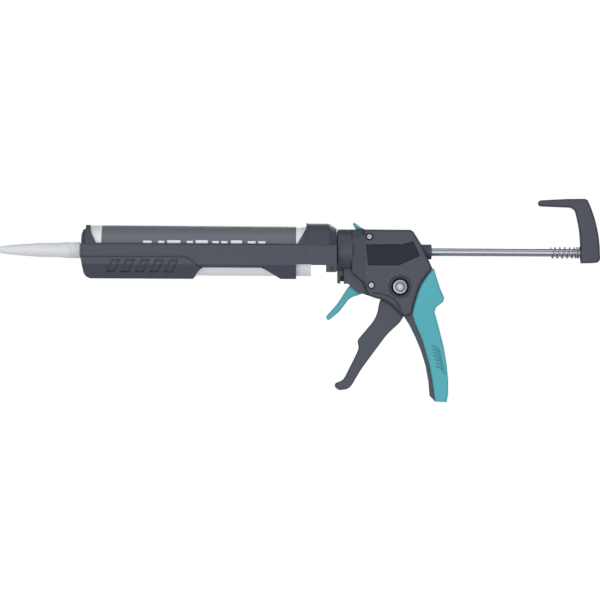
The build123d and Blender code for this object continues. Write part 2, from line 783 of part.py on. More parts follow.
def pivot_bolt():
    """Bolt that the trigger turns on, with a round head and a recess for a key."""
    place = (pivot_x, pivot_z)
    face = -(housing_half_width - dish_depth) - seat
    bolt = round_y(pivot_bolt_radius, place, face, housing_half_width + pivot_end_proud)
    head = round_y(pivot_head_radius, place, face - pivot_head_thickness, face)
    rim = head.edges().filter_by(GeomType.CIRCLE).sort_by(Axis.Y)[0]
    bolt += chamfer(rim, 0.9)
    key = extrude(Plane.XZ.offset(-face + 0.6) * Pos(place[0], place[1])
                  * RegularPolygon(pivot_key_width / 2, 6, major_radius=False), amount=10)
    return bolt - key


def pivot_nut():
    """Nut on the bolt's far end."""
    start = housing_half_width - dish_depth + seat
    nut = extrude(Plane.XZ.offset(-start) * Pos(pivot_x, pivot_z)
                  * RegularPolygon(pivot_nut_radius, 6, major_radius=False),
                  amount=-pivot_nut_thickness)
    return nut - round_y(pivot_bolt_radius + seat, (pivot_x, pivot_z), 0, 60)


def pivot_sleeve():
    """Steel bush between the bolt and the trigger."""
    place = (pivot_x, pivot_z)
    reach = trigger_half_width
    return (round_y(pivot_sleeve_radius, place, -reach, reach)
            - round_y(pivot_bolt_radius + running_fit, place, -reach - 1, reach + 1))


def rear_guide_sleeve():
    """Bush that guides the rod out of the back of the housing."""
    end = housing_front + sleeve_end
    return ring_x(sleeve_radius, rod_radius + running_fit, end - sleeve_length + seat, end)


def swivel_hub():
    """Hollow bolt that joins the cradle to the housing and lets the rod through."""
    flange = housing_front + 3.0
    front = cradle_rear - collar_rear_wall - swivel_washer_thickness - swivel_nut_thickness - 1.0
    hub = round_x(hub_radius, front, flange + hub_flange_thickness)
    hub += round_x(hub_flange_radius, flange, flange + hub_flange_thickness)
    return hub - round_x(rod_radius + running_fit, front - 1, flange + 10)


def swivel_washer():
    """Thrust washer between the nut and the cradle's rear wall."""
    end = cradle_rear - collar_rear_wall - seat
    return ring_x(swivel_washer_radius, hub_radius + seat, end - swivel_washer_thickness, end)


def swivel_nut():
    """Nut on the front end of the hub."""
    end = cradle_rear - collar_rear_wall - swivel_washer_thickness - 2 * seat
    start = end - swivel_nut_thickness
    return hexagon_x(swivel_nut_width, start, end) - round_x(hub_radius + seat, start - 1, end + 1)


# ---------------------------------------------------------------- mechanism
def nose_place():
    """Centre of the round noses of the trigger's tines, at rest."""
    lean = math.radians(trigger_arm_lean)
    return (pivot_x + trigger_arm * math.sin(lean), pivot_z + trigger_arm * math.cos(lean))


def trigger():
    """Squeeze lever: a hooked finger lever below, and a fork around the rod above."""
    lever = smooth_slab(from_housing([
        (41.8, -47.6), (39.4, -62.0), (35.6, -69.6), (20.3, -87.9), (19.8, -90.8), (21.2, -96.5),
        (17.4, -105.2), (6.9, -126.3), (4.5, -129.2), (-2.2, -131.6), (-3.2, -134.9),
        (1.1, -138.7), (9.8, -137.3), (13.6, -134.0), (23.1, -117.7), (35.6, -100.5),
        (49.0, -82.3), (66.7, -66.0), (69.4, -41.0), (61.4, -27.6), (50.0, -38.0),
    ]), trigger_half_width)
    lever = fillet(side_edges(lever, trigger_half_width), 1.5)
    lever += round_y(pivot_sleeve_radius + 3.0, (pivot_x, pivot_z),
                     -trigger_half_width, trigger_half_width)
    nose = nose_place()
    for side in (-1, 1):
        low, high = sorted((side * tine_inner, side * trigger_half_width))
        tine = slab([
            (pivot_x + 1.0, pivot_z), (nose[0] - 1.4, pivot_z + 20.0), (nose[0] - 2.4, nose[1]),
            (nose[0] + 3.0, nose[1]), (pivot_x + 8.0, pivot_z),
        ], 60) & block((-50, 900), (low, high), (-200, 100))
        lever += tine + round_y(tine_nose_radius, nose, low, high)
    return lever - round_y(pivot_sleeve_radius + running_fit, (pivot_x, pivot_z), -60, 60)


def drive_plate_span():
    """Front and rear faces of the drive plate, in front of the trigger's noses."""
    rear = nose_place()[0] - tine_nose_radius - gap
    return (rear - drive_plate_thickness, rear)


def drive_plate():
    """Plate that grips the rod and pushes it forward."""
    front, rear = drive_plate_span()
    plate = block((front, rear), (-drive_plate_half_width, drive_plate_half_width),
                  (-drive_plate_half_height, drive_plate_half_height))
    plate = chamfer(plate.edges().filter_by(Axis.X), 2.0)
    return plate - round_x(rod_radius + running_fit, front - 1, rear + 1)


def drive_spring():
    """Spring that pushes the drive plate back against the trigger."""
    return coil(drive_spring_radius, drive_spring_wire, housing_front + partition[1] + seat,
                drive_plate_span()[0] - seat, drive_spring_turns)


def brake_plate():
    """Plate that locks the rod against sliding back, with a foot that the release pushes."""
    start = housing_front + brake_plate_front
    end = start + brake_plate_thickness
    plate = block((start, end), (-brake_plate_half_width, brake_plate_half_width),
                  (brake_plate_foot, brake_plate_top))
    plate = chamfer(plate.edges().filter_by(Axis.X), 1.5)
    return plate - round_x(rod_radius + brake_clearance, start - 1, end + 1)


def brake_spring():
    """Spring between the brake plate and the partition."""
    start = housing_front + brake_plate_front + brake_plate_thickness
    return coil(brake_spring_radius, brake_spring_wire, start + 0.6,
                housing_front + partition[0] - seat, brake_spring_turns)


def release_trigger():
    """Finger lever below the barrel that tips the brake plate."""
    lever = smooth_slab(from_housing([
        (10.4, -35.0), (-0.8, -52.6), (-11.8, -65.0), (-11.4, -67.6), (-9.4, -68.8),
        (1.1, -60.4), (11.7, -46.0), (22.0, -43.0), (32.0, -38.4), (36.6, -33.6),
        (32.8, -29.6), (24.4, -27.4), (23.0, -10.4), (19.2, -10.4), (18.6, -27.6),
    ]), release_half_width)
    lever = chamfer(side_edges(lever, release_half_width), 1.0)
    return lever - round_y(release_pin_radius + running_fit, release_place(), -60, 60)


def drip_stop_tab():
    """Thumb tab on top of the barrel that takes the pressure off the rod."""
    tab = slab(from_housing([
        (14.2, 27.8), (15.4, 28.9), (17.2, 28.0), (21.6, 24.6), (26.0, 22.4), (33.6, 16.6),
        (33.6, 12.8), (30.6, 11.6), (27.4, 12.4), (26.4, 14.6), (19.4, 20.4), (16.8, 23.0),
    ]), tab_half_width)
    tab = chamfer(side_edges(tab, tab_half_width), 0.6)
    return tab - round_y(tab_pin_radius + running_fit, tab_place(), -60, 60)


shell = casing()
nodes = {
    "cartridge_tube": cartridge_tube(),
    "cartridge_label": cartridge_label(),
    "cartridge_plunger": cartridge_plunger(),
    "nozzle": nozzle(),
    "cradle": cradle(),
    "cradle_screws": cradle_screws(),
    "push_rod": push_rod(),
    "piston_plate": piston_plate(),
    "piston_washer": piston_washer(),
    "piston_nut": piston_nut(),
    "pull_hook": pull_hook(),
    "hook_pin": hook_pin(),
    "rod_spring": rod_spring(),
    "housing_left": half(shell, -1),
    "housing_right": half(shell, 1),
    "panel_left": panel_insert(-1),
    "panel_right": panel_insert(1),
    "grip_left": grip(-1),
    "grip_right": grip(1),
    "housing_screws": housing_screws(),
    "drip_stop_pin": headed_pin(tab_place(), tab_pin_radius, tab_head_radius),
    "release_pin": headed_pin(release_place(), release_pin_radius, release_head_radius),
    "pivot_bolt": pivot_bolt(),
    "pivot_nut": pivot_nut(),
    "pivot_sleeve": pivot_sleeve(),
    "rear_guide_sleeve": rear_guide_sleeve(),
    "swivel_hub": swivel_hub(),
    "swivel_nut": swivel_nut(),
    "swivel_washer": swivel_washer(),
    "trigger": trigger(),
    "drive_plate": drive_plate(),
    "drive_spring": drive_spring(),
    "brake_plate": brake_plate(),
    "brake_spring": brake_spring(),
    "release_trigger": release_trigger(),
    "drip_stop_tab": drip_stop_tab(),
}
for name, shape in nodes.items():
    export_step(shape, f"parts/{name}.step")
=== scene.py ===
import math

import bpy
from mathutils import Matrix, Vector


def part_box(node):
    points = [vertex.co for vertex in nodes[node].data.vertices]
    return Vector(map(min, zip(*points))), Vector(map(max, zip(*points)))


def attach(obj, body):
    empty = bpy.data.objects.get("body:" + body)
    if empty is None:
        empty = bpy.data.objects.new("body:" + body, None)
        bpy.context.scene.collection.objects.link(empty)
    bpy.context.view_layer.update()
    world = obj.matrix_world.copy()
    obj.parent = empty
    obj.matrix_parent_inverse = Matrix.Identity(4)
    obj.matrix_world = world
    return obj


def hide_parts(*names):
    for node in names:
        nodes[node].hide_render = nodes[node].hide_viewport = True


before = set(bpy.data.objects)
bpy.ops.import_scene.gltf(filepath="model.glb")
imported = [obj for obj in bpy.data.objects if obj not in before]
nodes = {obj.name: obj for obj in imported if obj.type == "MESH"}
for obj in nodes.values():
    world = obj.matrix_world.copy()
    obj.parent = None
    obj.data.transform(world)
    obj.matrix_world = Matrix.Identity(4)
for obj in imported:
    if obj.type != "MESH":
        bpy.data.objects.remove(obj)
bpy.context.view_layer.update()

# ------------------------------------------------------------------ cradle
# The trough that holds the cartridge: injection-moulded dark grey nylon with a fine spark-eroded
# texture, a ribbed belly under its front half and a closed collar over the cartridge's end.


class Signal:
    """A value on the surface. Arithmetic on it adds the Math nodes that work it out."""

    def __init__(self, tree, socket):
        self.tree = tree
        self.socket = socket

    def combine(self, operation, first, second):
        made = self.tree.nodes.new("ShaderNodeMath")
        made.operation = operation
        for socket, value in zip(made.inputs, (first, second)):
            if isinstance(value, Signal):
                self.tree.links.new(value.socket, socket)
            else:
                socket.default_value = value
        return Signal(self.tree, made.outputs[0])

    def __add__(self, other):
        return self.combine("ADD", self, other)

    def __radd__(self, other):
        return self.combine("ADD", other, self)

    def __sub__(self, other):
        return self.combine("SUBTRACT", self, other)

    def __rsub__(self, other):
        return self.combine("SUBTRACT", other, self)

    def __mul__(self, other):
        return self.combine("MULTIPLY", self, other)

    def __rmul__(self, other):
        return self.combine("MULTIPLY", other, self)

    def above(self, level):
        return self.combine("GREATER_THAN", self, level)

    def below(self, level):
        return self.combine("LESS_THAN", self, level)


class Finish:
    """One surface finish: a shader with the same numbers all over, and what varies on it."""

    def __init__(self, name, roughness, metallic=0.0, **constants):
        self.material = bpy.data.materials.new(name)
        self.material.use_nodes = True
        self.tree = self.material.node_tree
        self.shader = self.tree.nodes["Principled BSDF"]
        self.shader.inputs["Roughness"].default_value = roughness
        self.shader.inputs["Metallic"].default_value = metallic
        for socket, value in constants.items():
            self.shader.inputs[socket.replace("_", " ")].default_value = value
        self.place = self.node("ShaderNodeTexCoord", outlet="Object")

    def node(self, kind, settings=None, inputs=None, outlet=0):
        """A node from its type, its settings and its sockets' values or links."""
        made = self.tree.nodes.new(kind)
        for name, value in (settings or {}).items():
            if name == "stops":
                while len(made.color_ramp.elements) < len(value):
                    made.color_ramp.elements.new(0.5)
                for element, (position, colour) in zip(made.color_ramp.elements, value):
                    element.position = position
                    element.color = (*colour, 1.0)
            else:
                setattr(made, name, value)
        for name, value in (inputs or {}).items():
            self.feed(made.inputs[name], value)
        return Signal(self.tree, made.outputs[outlet])

    def feed(self, socket, value):
        if isinstance(value, Signal):
            self.tree.links.new(value.socket, socket)
        else:
            socket.default_value = value

    def noise(self, scale, detail=2.0, roughness=0.5, stretch=(1, 1, 1)):
        """Noise with a feature size of about 1 / scale metres."""
        place = self.node("ShaderNodeMapping", inputs={"Vector": self.place, "Scale": stretch})
        return self.node("ShaderNodeTexNoise", inputs={
            "Vector": place, "Scale": scale, "Detail": detail, "Roughness": roughness})

    def axis(self, name):
        """The place along one axis, in metres."""
        return self.node("ShaderNodeSeparateXYZ", inputs={"Vector": self.place}, outlet=name)

    def blend(self, factor, first, second):
        """A colour between two colours."""
        made = self.tree.nodes.new("ShaderNodeMix")
        made.data_type = "RGBA"
        self.feed(made.inputs["Factor"], factor)
        for socket, value in ((made.inputs[6], first), (made.inputs[7], second)):
            self.feed(socket, value if isinstance(value, Signal) else (*value, 1.0))
        return Signal(self.tree, made.outputs[2])

    def softened(self, reach):
        """The surface's normal with its edges rounded."""
        return self.node("ShaderNodeBevel", {"samples": 4}, {"Radius": reach}, outlet="Normal")

    def edges(self, reach):
        """1 on edges, 0 on flat faces: where edges are lightened, partly as rubbed wear, partly as
        a painted highlight.
        """
        edge_gain = 6.0
        soft = self.softened(reach)
        flat = self.node("ShaderNodeNewGeometry", outlet="Normal")
        aligned = self.node("ShaderNodeVectorMath", {"operation": "DOT_PRODUCT"}, outlet="Value")
        self.tree.links.new(soft.socket, aligned.socket.node.inputs[0])
        self.tree.links.new(flat.socket, aligned.socket.node.inputs[1])
        return self.node("ShaderNodeMath", {"operation": "MULTIPLY", "use_clamp": True},
                         {0: 1 - aligned, 1: edge_gain})

    def corners(self, reach):
        """1 deep in a corner or a narrow gap, 0 in the open: the mask for painted shade."""
        corner_shade_gain = 1.7
        open_sky = self.node("ShaderNodeAmbientOcclusion", {"samples": 8}, {"Distance": reach},
                             outlet="AO")
        return self.node("ShaderNodeMath", {"operation": "MULTIPLY", "use_clamp": True},
                         {0: 1 - open_sky, 1: corner_shade_gain})

    def bump(self, height, strength, distance, under=None):
        """A normal from a height."""
        inputs = {"Height": height, "Strength": strength, "Distance": distance}
        if under is not None:
            inputs["Normal"] = under
        return self.node("ShaderNodeBump", inputs=inputs, outlet="Normal")

    def colour(self, value):
        self.feed(self.shader.inputs["Base Color"], value)

    def rough(self, value):
        self.feed(self.shader.inputs["Roughness"], value)

    def normal(self, value):
        self.feed(self.shader.inputs["Normal"], value)


def shade(colour, factor, lift=0.0):
    """A colour made darker or lighter."""
    return tuple(factor * part + lift for part in colour)


def moulded(name, colour, roughness=0.5, grain=2600.0, wear=0.35, **constants):
    """Textured moulding: fine pits, slow tone changes, polished edges lightened by wear and a
    painted highlight, and painted shade in corners.
    """
    edge_reach = 0.0011
    corner_shade_reach = 0.0028
    edge_round = 0.0006
    pit_depth = 0.00012
    finish = Finish(name, roughness, **constants)
    tone = finish.noise(28.0, 3.0)
    fine = finish.noise(grain, 2.0, 0.6)
    scuffs = finish.noise(170.0, 4.0, 0.65, (0.35, 1, 1))
    rubbed_and_highlit = finish.edges(edge_reach)
    corner_shade = finish.corners(corner_shade_reach)
    body = finish.blend(tone, shade(colour, 0.88), shade(colour, 1.1))
    # Edges lighter: rubbed wear where the scuffs fall, and a painted highlight along every edge.
    worn_and_highlit = finish.blend(rubbed_and_highlit * (wear * scuffs + 0.1), body, shade(colour, 1.5, 0.012))
    # Painted shade: the colour turns near black in corners and narrow gaps.
    finish.colour(finish.blend(corner_shade * 0.85, worn_and_highlit, shade(colour, 0.12)))
    finish.rough(roughness + 0.12 * (scuffs - 0.5) - 0.1 * rubbed_and_highlit + 0.3 * corner_shade)
    finish.normal(finish.bump(fine, 0.28, pit_depth, finish.softened(edge_round)))
    return finish.material


def coat(material, *names):
    """Gives CAD nodes a finish."""
    for name in names:
        mesh = nodes[name].data
        mesh.materials.clear()
        mesh.materials.append(material)


cradle_grey = (0.040, 0.047, 0.069)
coat(moulded("cradle_nylon", cradle_grey, 0.52), "cradle")

# ------------------------------------------------------------------ cradle screws
# Two small blackened steel screws, one driven in from each side through the tabs under the collar.
# Their flat heads stand a little proud.


def metal(name, colour, roughness, stretch=(1, 1, 1), streak=0.12, reach=0.0012):
    """Metal with fine lines in one direction, a few dull spots and painted shade in corners."""
    line_depth = 0.00003
    finish = Finish(name, roughness, 1.0)
    lines = finish.noise(5200.0, 2.0, 0.6, stretch)
    spots = finish.noise(240.0, 3.0, 0.6)
    corner_shade = finish.corners(reach)
    bright = finish.blend(spots, shade(colour, 0.82), colour)
    # Painted shade: the colour darkens in corners and grooves.
    finish.colour(finish.blend(corner_shade * 0.8, bright, shade(colour, 0.15)))
    finish.rough(roughness + streak * (lines - 0.5) + 0.1 * (spots - 0.5))
    finish.normal(finish.bump(lines, 0.12, line_depth))
    return finish.material


coat(metal("blackened_steel", (0.05, 0.052, 0.058), 0.45), "cradle_screws")

# ------------------------------------------------------------------ cartridge
# A standard white polyethylene sealant tube with a printed grey wrap glued round it. The wrap
# stops short of both ends and leaves a bare strip along the bottom.


def smooth_plastic(name, colour, roughness):
    """Plain moulding with faint flow marks along its length."""
    ripple_depth = 0.0001
    finish = Finish(name, roughness)
    flow = finish.noise(60.0, 3.0, 0.5, (0.08, 1, 1))
    fine = finish.noise(900.0, 2.0)
    finish.colour(finish.blend(flow, shade(colour, 0.93), colour))
    finish.rough(roughness + 0.1 * (flow - 0.5))
    finish.normal(finish.bump(fine, 0.1, ripple_depth))
    return finish.material


def printed_wrap(name, colour, ink):
    """Satin printed film: a broken line of plain bars just above the cradle's rim, and painted
    shade where the film meets the rim and other parts.
    """
    corner_shade_reach = 0.002
    ripple_depth = 0.0006
    finish = Finish(name, 0.42)
    along = finish.axis("X")
    height = finish.axis("Z")
    speckle = finish.noise(1400.0, 3.0, 0.7)
    tone = finish.noise(18.0, 2.0, 0.5, (0.2, 1, 1))
    bars = 0.0
    for start, width, top in bar_places:
        bars = along.above(start) * along.below(start + width) * height.below(top) + bars
    dots = 0.82 + 0.18 * speckle.above(0.4)
    grey = finish.blend(tone, shade(colour, 0.92), colour)
    printed = finish.blend(bars * height.above(bar_foot) * dots, grey, ink)
    corner_shade = finish.corners(corner_shade_reach)
    # Painted shade: the grey darkens in corners, such as just above the cradle's rim.
    finish.colour(finish.blend(corner_shade * 0.6, printed, shade(colour, 0.2)))
    finish.rough(0.36 + 0.14 * tone)
    finish.normal(finish.bump(tone, 0.15, ripple_depth))
    return finish.material


plain_white = (0.80, 0.81, 0.84)
wrap_grey = (0.122, 0.138, 0.160)
bar_ink = (0.80, 0.81, 0.83)
bar_foot = 0.0055
# Each bar's start and width along the wrap, and its top.
bar_places = (
    (0.1440, 0.0085, 0.0094), (0.1590, 0.0060, 0.0094), (0.1680, 0.0130, 0.0099),
    (0.1874, 0.0060, 0.0094), (0.1962, 0.0120, 0.0101), (0.2128, 0.0064, 0.0094),
    (0.2216, 0.0060, 0.0094), (0.2312, 0.0110, 0.0101), (0.2478, 0.0078, 0.0094),
    (0.2584, 0.0070, 0.0094),
)
coat(smooth_plastic("cartridge_white", plain_white, 0.4), "cartridge_tube", "cartridge_plunger")
coat(printed_wrap("cartridge_print", wrap_grey, bar_ink), "cartridge_label")

# ------------------------------------------------------------------ nozzle
# A milky polyethylene cone, blow-moulded with a thin wall and cut open at its tip. Its wider end
# has shallow thread rings and screws over the cartridge's spout.


def turned_piece(name, stations, along, centre=(0.0, 0.0, 0.0), sides=96, hollow=False):
    """A turned piece: a circle that is extruded and scaled from station to station.

    A station is a (place, radius) along the axis, and a hollow piece ends where it starts.
    """
    crease_angle = math.radians(35)
    bpy.ops.object.select_all(action="DESELECT")
    axis = Vector((1, 0, 0)) if along == "X" else Vector((0, 1, 0))
    turn = (0, math.radians(90), 0) if along == "X" else (math.radians(90), 0, 0)
    place, radius = stations[0]
    bpy.ops.mesh.primitive_circle_add(
        vertices=sides, radius=radius, fill_type="NOTHING" if hollow else "NGON",
        location=Vector(centre) + axis * place, rotation=turn)
    piece = bpy.context.object
    piece.name = name
    bpy.ops.object.transform_apply(location=True, rotation=True, scale=True)
    bpy.ops.object.mode_set(mode="EDIT")
    bpy.ops.mesh.select_all(action="SELECT")
    for next_place, next_radius in stations[1:]:
        bpy.ops.mesh.extrude_region_move(
            TRANSFORM_OT_translate={"value": axis * (next_place - place)})
        grow = next_radius / radius
        bpy.ops.transform.resize(
            value=(1, grow, grow) if along == "X" else (grow, 1, grow),
            center_override=Vector(centre) + axis * next_place)
        place, radius = next_place, next_radius
    bpy.ops.mesh.select_all(action="SELECT")
    bpy.ops.mesh.remove_doubles(threshold=1e-6)
    bpy.ops.mesh.normals_make_consistent(inside=False)
    bpy.ops.object.mode_set(mode="OBJECT")
    bpy.ops.object.shade_smooth_by_angle(angle=crease_angle)
    return piece


def milky(name, colour):
    """Milky plastic that lets some light through."""
    ripple_depth = 0.00008
    finish = Finish(name, 0.38, Subsurface_Weight=0.35, Subsurface_Scale=0.004)
    flow = finish.noise(120.0, 3.0, 0.5, (0.15, 1, 1))
    fine = finish.noise(1500.0, 2.0)
    finish.colour(finish.blend(flow, shade(colour, 0.9), colour))
    finish.rough(0.32 + 0.12 * flow)
    finish.normal(finish.bump(fine, 0.12, ripple_depth))
    return finish.material


nozzle_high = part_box("nozzle")[1]
nozzle_end = nozzle_high[0]
nozzle_base = nozzle_high[2]
nozzle_lip = 0.0004
outlet_radius = 0.0025
outlet_length = 0.012
throat_radius = 0.0045
socket_radius = 0.00645
socket_depth = 0.0054
ring_starts = (0.0690, 0.0716, 0.0742)
ring_width = 0.0014
ring_slope = 0.0004
ring_depth = 0.00035

outside = [(0.0, 0.0028), (nozzle_lip, 0.0033), (0.004, 0.0039), (0.0104, 0.0047),
           (0.024, 0.0058), (0.04, 0.0069), (0.0610, 0.0072), (0.0618, 0.0075), (0.0630, 0.0077)]
for ring_start in ring_starts:
    ring_end = ring_start + ring_width
    outside += [(ring_start, nozzle_base), (ring_start + ring_slope, nozzle_base - ring_depth),
                (ring_end - ring_slope, nozzle_base - ring_depth), (ring_end, nozzle_base)]
outside += [(nozzle_end - nozzle_lip, nozzle_base), (nozzle_end, nozzle_base - nozzle_lip)]
inside = [(nozzle_end, socket_radius), (nozzle_end - socket_depth, socket_radius),
          (nozzle_end - socket_depth, throat_radius), (outlet_length, outlet_radius),
          (0.0, outlet_radius), outside[0]]
nozzle = turned_piece("nozzle_cone", outside + inside, "X", hollow=True)
nozzle_white = (0.72, 0.73, 0.76)
nozzle.data.materials.append(milky("nozzle_milky", nozzle_white))
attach(nozzle, "cradle_group")
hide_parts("nozzle")

# ------------------------------------------------------------------ push rod and piston
# Bright chromed steel rod, drawn and polished along its length, with a pressed and zinc-plated
# piston plate, washer and nut on its front end.

rod_bright = (0.33, 0.34, 0.365)
zinc_grey = (0.40, 0.415, 0.44)
along_rod = (0.02, 1, 1)
coat(metal("rod_chrome", rod_bright, 0.09, along_rod), "push_rod")
zinc = metal("zinc_plate", zinc_grey, 0.4)
coat(zinc, "piston_plate", "piston_washer", "piston_nut")

# ------------------------------------------------------------------ swivel and plates
# Zinc-plated steel inside the gun: the hub, washer and nut that the cradle turns on, and the two
# stamped plates that grip the rod, one to drive it and one to hold it.

coat(zinc, "swivel_hub", "swivel_nut", "swivel_washer", "drive_plate", "brake_plate")

# ------------------------------------------------------------------ springs
# Coiled from hard-drawn spring wire. The buffer spring on the rod has open coils in front and
# close ones against the hook; the two inside the housing have an even pitch.

wire_radius = 0.00075
wire_sides = 10
wire_steel = (0.46, 0.47, 0.49)
spring_low, spring_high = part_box("rod_spring")
coil_radius = spring_high[2] - wire_radius
coil_pitches = (0.0044, 0.0048, 0.0050, 0.0050, 0.0045, 0.0028, 0.0022)
coil_steps = 28
spring_steel = metal("spring_wire", wire_steel, 0.3)

bpy.ops.object.select_all(action="DESELECT")
bpy.ops.mesh.primitive_circle_add(
    vertices=wire_sides, radius=wire_radius, fill_type="NGON",
    location=(spring_low[0] + wire_radius, 0.0, coil_radius), rotation=(math.radians(90), 0, 0))
spring = bpy.context.object
spring.name = "buffer_spring"
bpy.ops.object.transform_apply(location=True, rotation=True, scale=True)
bpy.ops.object.mode_set(mode="EDIT")
bpy.ops.mesh.select_all(action="SELECT")
for pitch in coil_pitches:
    for step in range(coil_steps):
        bpy.ops.mesh.extrude_region_move(
            TRANSFORM_OT_translate={"value": (pitch / coil_steps, 0, 0)})
        bpy.ops.transform.rotate(value=math.tau / coil_steps, orient_axis="X",
                                 center_override=(0, 0, 0))
bpy.ops.mesh.select_all(action="SELECT")
bpy.ops.mesh.normals_make_consistent(inside=False)
bpy.ops.object.mode_set(mode="OBJECT")
bpy.ops.object.shade_smooth_by_angle(angle=math.radians(60))
spring.data.materials.append(spring_steel)
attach(spring, "rod")
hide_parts("rod_spring")
coat(spring_steel, "drive_spring", "brake_spring")

# ------------------------------------------------------------------ pull hook
# One solid moulding of the housing's nylon with well rounded edges, pushed over the rod's end and
# held there by a zinc-plated cross pin.

hook_grey = (0.040, 0.045, 0.067)
coat(moulded("hook_nylon", hook_grey, 0.5), "pull_hook")
coat(zinc, "hook_pin")

# ------------------------------------------------------------------ housing
# Two half shells of glass-filled nylon, joined by zinc-plated screws, with a darker grained plate
# pressed into each side and a bush of the same nylon for the rod.

housing_grey = (0.039, 0.045, 0.066)
bush_grey = (0.044, 0.050, 0.070)
panel_blue = (0.007, 0.013, 0.024)
coat(moulded("housing_nylon", housing_grey, 0.5), "housing_left", "housing_right")
coat(moulded("bush_nylon", bush_grey, 0.5), "rear_guide_sleeve")
coat(moulded("panel_nylon", panel_blue, 0.62, 1500.0, 0.12, Specular_IOR_Level=0.3),
     "panel_left", "panel_right")
coat(zinc, "housing_screws")

# ------------------------------------------------------------------ pins and pivot bolt
# The release trigger and the tab turn on riveted pins with a dimple in each head. The lever turns
# on a steel sleeve over a bright bolt with a ringed head in a shallow dish. A near-black ring
# round the head is painted shade for the gap between the head and the dish.

coat(zinc, "pivot_sleeve", "pivot_nut")
rivet_grey = (0.37, 0.39, 0.40)
pin_metal = metal("rivet_zinc", rivet_grey, 0.36)


def rivet(name, node):
    """A pin across the housing, with a low dimpled head on each end."""
    dimple = 0.0005
    shoulder = 0.0003
    rounding = 0.0008
    thickness = 0.0014
    low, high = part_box(node)
    head = (high[0] - low[0]) / 2
    middle = ((low[0] + high[0]) / 2, 0.0, (low[2] + high[2]) / 2)
    face = -high[1]
    near = [(face + dimple, 0.3 * head), (face + dimple, 0.42 * head), (face, 0.5 * head),
            (face, 0.8 * head), (face + shoulder, 0.93 * head), (face + rounding, head),
            (face + thickness, head), (face + thickness, 0.68 * head)]
    far = [(-place, radius) for place, radius in reversed(near)]
    pin = turned_piece(name, near + far, "Y", middle, sides=40)
    pin.data.materials.append(pin_metal)
    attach(pin, "housing")
    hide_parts(node)


rivet("tab_rivet", "drip_stop_pin")
rivet("release_rivet", "release_pin")

bolt_low, bolt_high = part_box("pivot_bolt")
bolt_head = (bolt_high[0] - bolt_low[0]) / 2
bolt_place = ((bolt_low[0] + bolt_high[0]) / 2, 0.0, (bolt_low[2] + bolt_high[2]) / 2)
bolt_face = bolt_low[1]
bolt_back = bolt_face + 0.0024
bolt_stem = 0.004
stem_chamfer = 0.0006
bolt_bright = (0.35, 0.38, 0.415)
groove_shade_reach = 0.0045
bolt_head_stations = [
    (bolt_face + 0.0007, 0.0011), (bolt_face + 0.0004, 0.0022), (bolt_face + 0.0006, 0.0028),
    (bolt_face + 0.0019, 0.0031), (bolt_face + 0.0020, 0.0046), (bolt_face + 0.0004, 0.0050),
    (bolt_face, 0.0054), (bolt_face, bolt_head - 0.0009),
    (bolt_face + 0.0003, bolt_head - 0.0003), (bolt_face + 0.0009, bolt_head),
    (bolt_back, bolt_head),
]
bolt_stem_stations = [
    (bolt_back, bolt_stem), (bolt_high[1] - stem_chamfer, bolt_stem),
    (bolt_high[1], bolt_stem - stem_chamfer),
]
bolt = turned_piece("pivot_bolt_turned", bolt_head_stations + bolt_stem_stations, "Y", bolt_place,
                    sides=80)
# The wide corner reach paints shade into the grooves of the bolt head.
bolt.data.materials.append(metal("bolt_bright", bolt_bright, 0.25, reach=groove_shade_reach))
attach(bolt, "housing")
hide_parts("pivot_bolt")

# A near-black ring under the rim of the bolt head: painted shade standing in for the gap round the
# head.
shade_ring_top = bolt_back - 0.0009
shade_ring_edge = bolt_back - 0.0003
shade_ring_inner = bolt_head + 0.0001
shade_ring_outer = bolt_head + 0.0016
shade_ring_black = (0.004, 0.005, 0.006)
shade_ring = turned_piece("pivot_shade_ring", [
    (shade_ring_edge, shade_ring_inner), (shade_ring_top, bolt_head + 0.0003),
    (shade_ring_top, bolt_head + 0.0012), (shade_ring_edge, shade_ring_outer),
    (bolt_back, shade_ring_outer), (bolt_back, shade_ring_inner), (shade_ring_edge, shade_ring_inner),
], "Y", bolt_place, sides=80, hollow=True)
shade_ring.data.materials.append(moulded("painted_shade_ring", shade_ring_black, 0.8, 2200.0, 0.1,
                                     Specular_IOR_Level=0.2))
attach(shade_ring, "housing")

# ------------------------------------------------------------------ squeeze lever
# One thick moulding of the housing's nylon, a little lighter and greener, with round edges. It
# hangs on the pivot bolt between the two shells.

lever_grey = (0.041, 0.050, 0.069)
coat(moulded("lever_nylon", lever_grey, 0.5), "trigger")

# ------------------------------------------------------------------ grip, release trigger and tab
# The grip is soft teal rubber moulded over the handle, in a left and a right half. The release
# trigger and the thumb tab are hard plastic, and the tab is a little greener.


def soft_rubber(name, colour):
    """Soft-touch rubber: velvety, with a fine uneven skin, pale edges that are partly rubbed wear
    and partly a painted highlight, and painted shade in corners.
    """
    edge_reach = 0.0014
    corner_shade_reach = 0.0022
    edge_round = 0.001
    skin_depth = 0.00012
    rubbed_highlight_teal = (0.2, 0.5, 0.54)
    finish = Finish(name, 0.62, Sheen_Weight=0.15, Sheen_Roughness=0.5)
    skin = finish.noise(1900.0, 3.0, 0.65)
    tone = finish.noise(24.0, 3.0)
    grime = finish.noise(90.0, 4.0, 0.6)
    rubbed_and_highlit = finish.edges(edge_reach)
    corner_shade = finish.corners(corner_shade_reach)
    body = finish.blend(tone, shade(colour, 0.93), shade(colour, 1.05))
    # Pale edges: partly rubbed wear, partly a painted highlight.
    worn_and_highlit = finish.blend(rubbed_and_highlit * (0.3 * grime), body, rubbed_highlight_teal)
    # Painted shade: the colour darkens in corners and gaps.
    finish.colour(finish.blend(corner_shade * 0.4, worn_and_highlit, shade(colour, 0.3)))
    finish.rough(0.56 + 0.16 * grime)
    finish.normal(finish.bump(skin, 0.35, skin_depth, finish.softened(edge_round)))
    return finish.material


